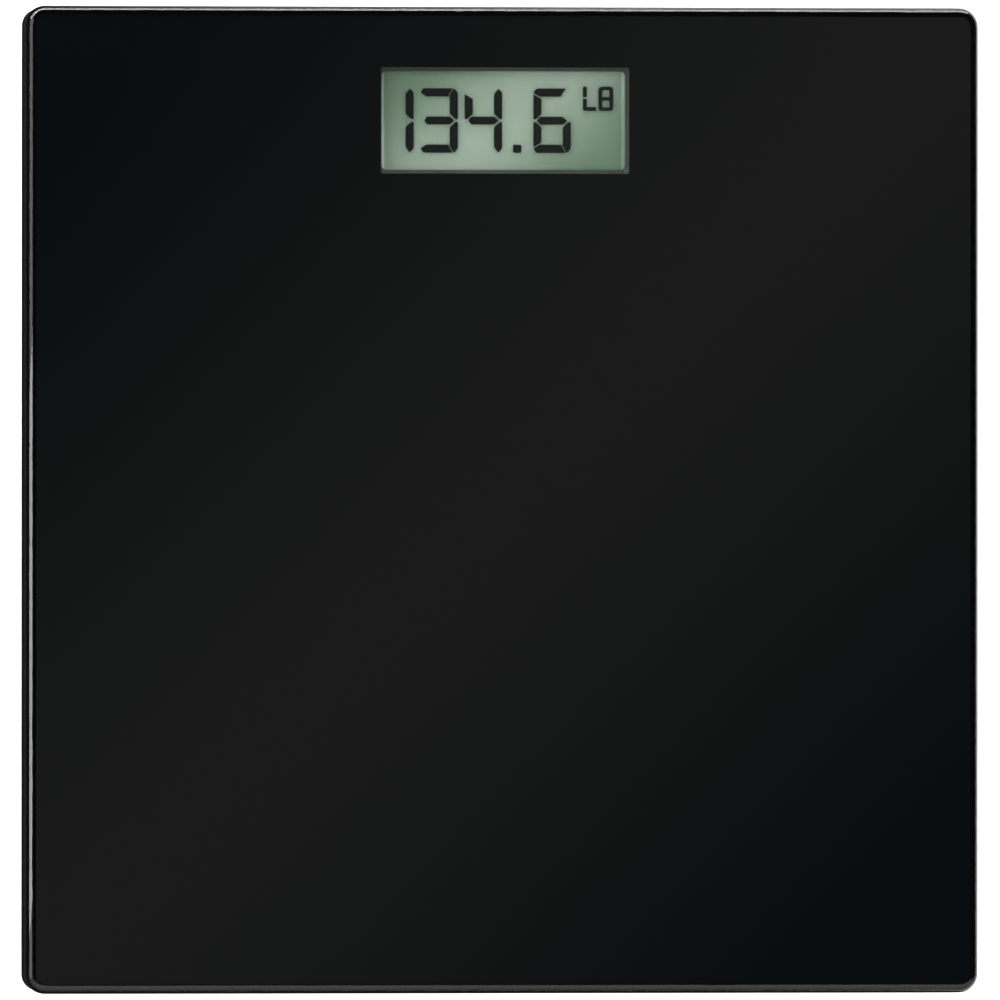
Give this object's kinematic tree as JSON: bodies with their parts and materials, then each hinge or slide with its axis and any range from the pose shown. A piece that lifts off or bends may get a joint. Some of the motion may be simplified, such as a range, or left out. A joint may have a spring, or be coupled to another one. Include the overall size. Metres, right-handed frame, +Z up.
{
  "type": "digital bathroom scale",
  "caption": "Low square glass platform with a display window near the rear edge, on a shallow tray with load-sensing feet, a units button and a battery door.",
  "frame": {"origin": "on the floor below the middle of the platform", "axes": "+Z up, +Y towards the display end, +X to the right of a user who stands facing the display"},
  "size_m": [0.295, 0.3, 0.024],
  "materials": {
    "platform_glass": "tempered, polished",
    "back_print_enamel": "screen-printed ceramic enamel",
    "bonding_foam": "closed-cell foam tape",
    "tray_plastic": "moulded ABS, fine texture",
    "clamp_plastic": "moulded ABS",
    "wire_insulation": "PVC",
    "load_cell_steel": "stamped and plated",
    "white_silicone": "potting",
    "foot_plastic": "moulded ABS",
    "foot_rubber": "moulded",
    "screw_steel": "zinc plated",
    "bezel_plastic": "moulded ABS",
    "lcd_reflector_film": "transflective film",
    "lcd_glass": "thin float glass",
    "lcd_polariser_film": "anti-glare film",
    "lcd_segment_black": "dark liquid crystal",
    "zebra_rubber": "layered conductive silicone",
    "board_laminate": "solder mask on glass epoxy",
    "solder": "reflowed",
    "black_epoxy": "glob top",
    "capacitor_ceramic": "ceramic",
    "crystal_can": "nickel",
    "switch_housing": "moulded",
    "button_plastic": "moulded ABS",
    "cell_steel": "nickel plated",
    "contact_steel": "nickel plated spring strip",
    "lead_red": "PVC",
    "label_film": "satin polyester, blank"
  },
  "bodies": {
    "housing": {"back_print": "back_print_enamel", "base_tray": "tray_plastic", "battery_lead_black": "wire_insulation", "battery_lead_red": "lead_red", "board_capacitors": "capacitor_ceramic", "board_crystal": "crystal_can", "board_screws": "screw_steel", "bonding_tape": "bonding_foam", "chip_blob": "black_epoxy", "circuit_board": "board_laminate", "clamp_screws": "screw_steel", "coin_cell": "cell_steel", "display_frame": "bezel_plastic", "display_gasket": "bonding_foam", "foot_ring_front_left": "tray_plastic", "foot_ring_front_right": "tray_plastic", "foot_ring_rear_left": "tray_plastic", "foot_ring_rear_right": "tray_plastic", "gauge_potting_front_left": "white_silicone", "gauge_potting_front_right": "white_silicone", "gauge_potting_rear_left": "white_silicone", "gauge_potting_rear_right": "white_silicone", "glass_platform": "platform_glass", "lcd_front_glass": "lcd_glass", "lcd_front_polariser": "lcd_polariser_film", "lcd_rear_glass": "lcd_glass", "lcd_reflector": "lcd_reflector_film", "lcd_segments": "lcd_segment_black", "load_cell_clamp_front_left": "clamp_plastic", "load_cell_clamp_front_right": "clamp_plastic", "load_cell_clamp_rear_left": "clamp_plastic", "load_cell_clamp_rear_right": "clamp_plastic", "load_cell_front_left": "load_cell_steel", "load_cell_front_right": "load_cell_steel", "load_cell_rear_left": "load_cell_steel", "load_cell_rear_right": "load_cell_steel", "load_cell_wires_front_left": "wire_insulation", "load_cell_wires_front_right": "wire_insulation", "load_cell_wires_rear_left": "wire_insulation", "load_cell_wires_rear_right": "wire_insulation", "negative_contact": "contact_steel", "positive_contact": "contact_steel", "rating_label": "label_film", "solder_joints": "solder", "unit_switch": "switch_housing", "zebra_strip_front": "zebra_rubber", "zebra_strip_rear": "zebra_rubber"},
    "foot_front_left": {"foot_cup_front_left": "foot_plastic", "foot_pad_front_left": "foot_rubber"},
    "foot_front_right": {"foot_cup_front_right": "foot_plastic", "foot_pad_front_right": "foot_rubber"},
    "foot_rear_left": {"foot_cup_rear_left": "foot_plastic", "foot_pad_rear_left": "foot_rubber"},
    "foot_rear_right": {"foot_cup_rear_right": "foot_plastic", "foot_pad_rear_right": "foot_rubber"},
    "unit_button": {"unit_button": "button_plastic", "switch_plunger": "button_plastic"},
    "battery_door": {"battery_door": "tray_plastic", "door_foam": "bonding_foam"}
  },
  "joints": [
    {"name": "foot_front_left_slide", "type": "slide", "parent": "housing", "child": "foot_front_left", "axis": [0, 0, 1], "range_m": [-0.0004, 0]},
    {"name": "foot_front_right_slide", "type": "slide", "parent": "housing", "child": "foot_front_right", "axis": [0, 0, 1], "range_m": [-0.0004, 0]},
    {"name": "foot_rear_left_slide", "type": "slide", "parent": "housing", "child": "foot_rear_left", "axis": [0, 0, 1], "range_m": [-0.0004, 0]},
    {"name": "foot_rear_right_slide", "type": "slide", "parent": "housing", "child": "foot_rear_right", "axis": [0, 0, 1], "range_m": [-0.0004, 0]},
    {"name": "unit_button_press", "type": "slide", "parent": "housing", "child": "unit_button", "axis": [0, 0, 1], "range_m": [0, 0.0005], "stiffness_N_per_m": 3200, "springref_m": -0.0001},
    {"name": "battery_door_hinge", "type": "hinge", "parent": "housing", "child": "battery_door", "pos_m": [0, 0.0655, 0.0067], "axis": [1, 0, 0], "range_deg": [0, 90]}
  ]
}
